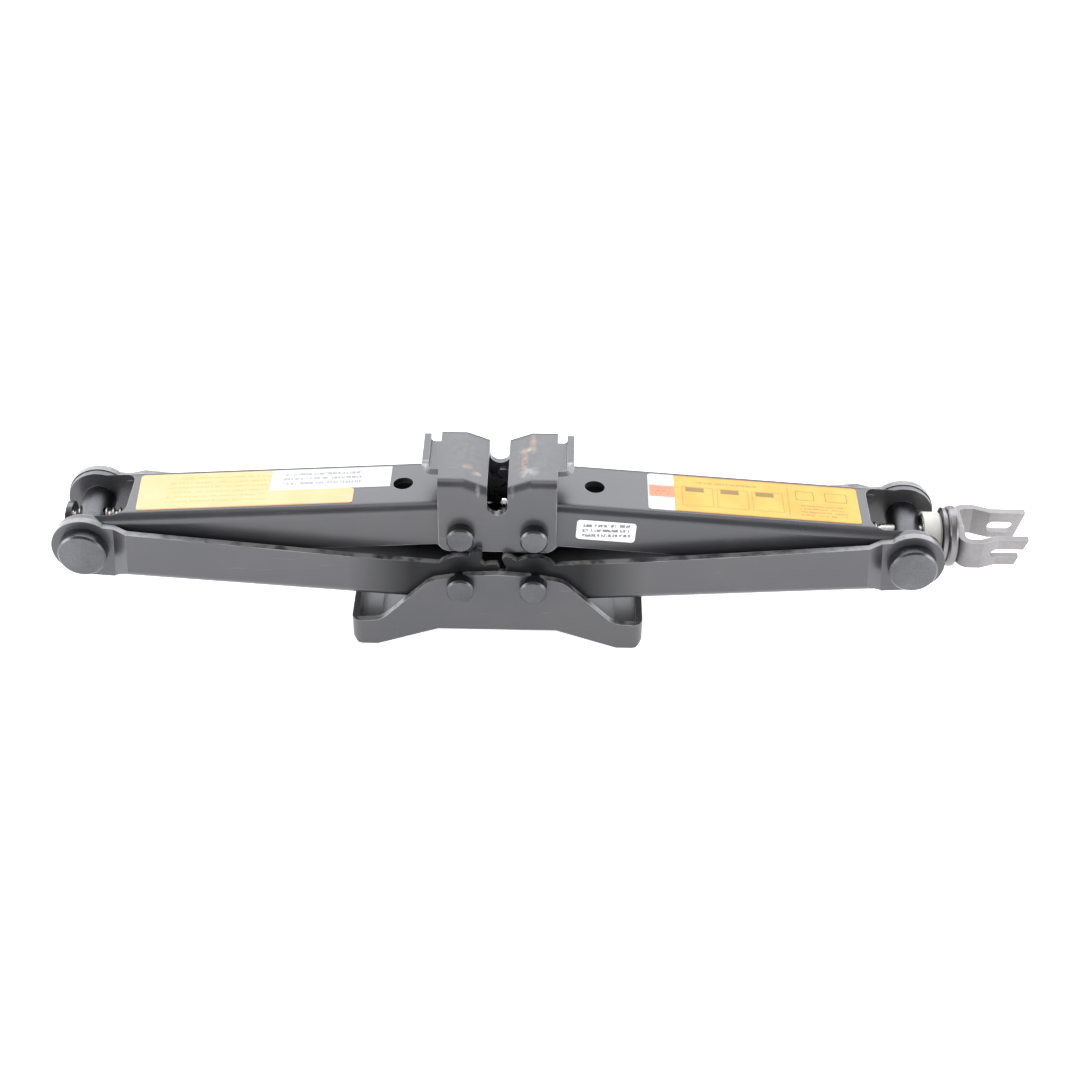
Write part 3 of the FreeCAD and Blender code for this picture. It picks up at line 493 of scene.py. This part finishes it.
def lathe(name, rings):
    """A closed turned piece about the screw's axis. rings gives (x, radius at an angle) in order along x."""
    mesh = bmesh.new()
    loops = []
    for x, radius_at in rings:
        loop = []
        for step in range(AROUND):
            angle = 2 * math.pi * step / AROUND
            radius = radius_at(angle)
            loop.append(mesh.verts.new((x, radius * math.cos(angle), SCREW_Z + radius * math.sin(angle))))
        loops.append(loop)
    for near_loop, far_loop in zip(loops, loops[1:]):
        for step in range(AROUND):
            after = (step + 1) % AROUND
            mesh.faces.new((near_loop[step], near_loop[after], far_loop[after], far_loop[step]))
    mesh.faces.new(list(reversed(loops[0])))
    mesh.faces.new(loops[-1])
    bmesh.ops.recalc_face_normals(mesh, faces=mesh.faces)
    data = bpy.data.meshes.new(name)
    mesh.to_mesh(data)
    mesh.free()
    piece = bpy.data.objects.new(name, data)
    bpy.context.collection.objects.link(piece)
    for face in data.polygons:
        face.use_smooth = True
    return piece


def thread_radius(x, angle):
    """A trapezoidal thread's radius: flat crests and roots with sloping flanks."""
    turn = (x / THREAD_PITCH - angle / (2 * math.pi)) % 1.0
    flank = min(max((abs(turn - 0.5) - 0.14) / 0.16, 0.0), 1.0)
    return CREST_RADIUS - THREAD_DEPTH * flank


def threaded_screw():
    """The lifting screw with its thread, plain shank and riveted end."""
    tail = SCREW_LOW.x
    thread_end = COLLAR_LOW.x - PLAIN_LENGTH
    rivet_start = SCREW_HIGH.x - RIVET_HEIGHT
    step = THREAD_PITCH / 8
    count = round((thread_end - tail) / step)
    rings = []
    for number in range(count + 1):
        x = tail + (thread_end - tail) * number / count
        taper = min(1.0, 0.82 + (x - tail) / (8 * MM) * 0.18)
        rings.append((x, lambda angle, x=x, taper=taper: thread_radius(x, angle) * taper))
    plain = (
        (thread_end + 0.8 * MM, SHANK_RADIUS),
        (rivet_start, SHANK_RADIUS),
        (rivet_start, 6.1 * MM),
        (rivet_start + 0.5 * MM, 5.9 * MM),
        (rivet_start + 0.9 * MM, 4.6 * MM),
        (rivet_start + RIVET_HEIGHT, 2.5 * MM),
    )
    rings += [(x, lambda angle, radius=radius: radius) for x, radius in plain]
    screw = lathe("screw_threaded", rings)
    screw.data.materials.append(
        bare_steel("oiled_thread", (0.5, 0.48, 0.45, 1), (0.24, 0.22, 0.2, 1), 0.28, grain=(0.2, 1, 1))
    )
    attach(screw, "screw")
    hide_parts("lifting_screw")


# ---- Floor, light and camera ----


def floor():
    bpy.ops.mesh.primitive_plane_add(size=8.0, location=(0, 0, 0))
    plane = bpy.context.active_object
    plane.name = "floor"
    plane.data.materials.append(floor_white())


DAYLIGHT = (0.94, 0.955, 1.0)


def softbox(name, place, target, width, height, radiance):
    light = bpy.data.lights.new(name, "AREA")
    light.shape = "RECTANGLE"
    light.size = width
    light.size_y = height
    light.energy = radiance * math.pi * width * height
    light.color = DAYLIGHT
    lamp = bpy.data.objects.new(name, light)
    bpy.context.collection.objects.link(lamp)
    lamp.location = place
    lamp.rotation_euler = (Vector(target) - Vector(place)).to_track_quat("-Z", "Y").to_euler()


def lights():
    middle = (0, 0, 0.05)
    softbox("back_softbox", (0, 1.05, 1.0), middle, 2.0, 1.1, 3.2)
    softbox("ceiling", (0, 0.1, 1.5), middle, 1.0, 0.5, 2.5)
    for side in (-1, 1):
        softbox(f"side_wall_{side + 1}", (side * 1.3, -0.5, 0.45), middle, 1.0, 0.7, 5.0)
        softbox(f"back_corner_{side + 1}", (side * 1.25, 1.1, 0.4), middle, 1.1, 0.7, 3.0)
    softbox("front_fill", (-0.4, -1.6, 0.4), middle, 1.8, 0.8, 2.0)
    world = bpy.data.worlds.new("studio")
    bpy.context.scene.world = world
    world.use_nodes = True
    background = world.node_tree.nodes["Background"]
    background.inputs["Color"].default_value = (0.95, 0.97, 1.0, 1)
    background.inputs["Strength"].default_value = 0.25


ELEVATION = math.radians(37.4)
HEADING = math.radians(-0.5)
ROLL = math.radians(0.8)
CAMERA_DISTANCE = 0.862
LENS = 64.6
AIM_RIGHT = 19.1 * MM
AIM_UP = 47.3 * MM


def camera():
    """The photograph's viewpoint: from the front, well above, and very slightly rolled."""
    flat = math.cos(ELEVATION)
    forward = Vector((math.sin(HEADING) * flat, math.cos(HEADING) * flat, -math.sin(ELEVATION)))
    level = Vector((math.cos(HEADING), -math.sin(HEADING), 0))
    up = level.cross(forward)
    right = level * math.cos(ROLL) + up * math.sin(ROLL)
    upright = up * math.cos(ROLL) - level * math.sin(ROLL)
    aim = Vector((CENTRE_X + AIM_RIGHT, BASE_LOW.y, 0)) + upright * AIM_UP
    data = bpy.data.cameras.new("camera")
    data.lens = LENS
    data.sensor_width = 36.0
    viewer = bpy.data.objects.new("camera", data)
    bpy.context.collection.objects.link(viewer)
    axes = Matrix((right, upright, -forward)).transposed().to_4x4()
    viewer.matrix_world = Matrix.Translation(aim - forward * CAMERA_DISTANCE) @ axes
    bpy.context.scene.camera = viewer


dress_pressings()
dress_pivots()
dress_bearing()
dress_drive()
label_left_yellow()
label_left_white()
label_right_yellow()
label_right_white()
label_side()
threaded_screw()
floor()
lights()
camera()
bpy.context.scene.view_settings.view_transform = "Standard"
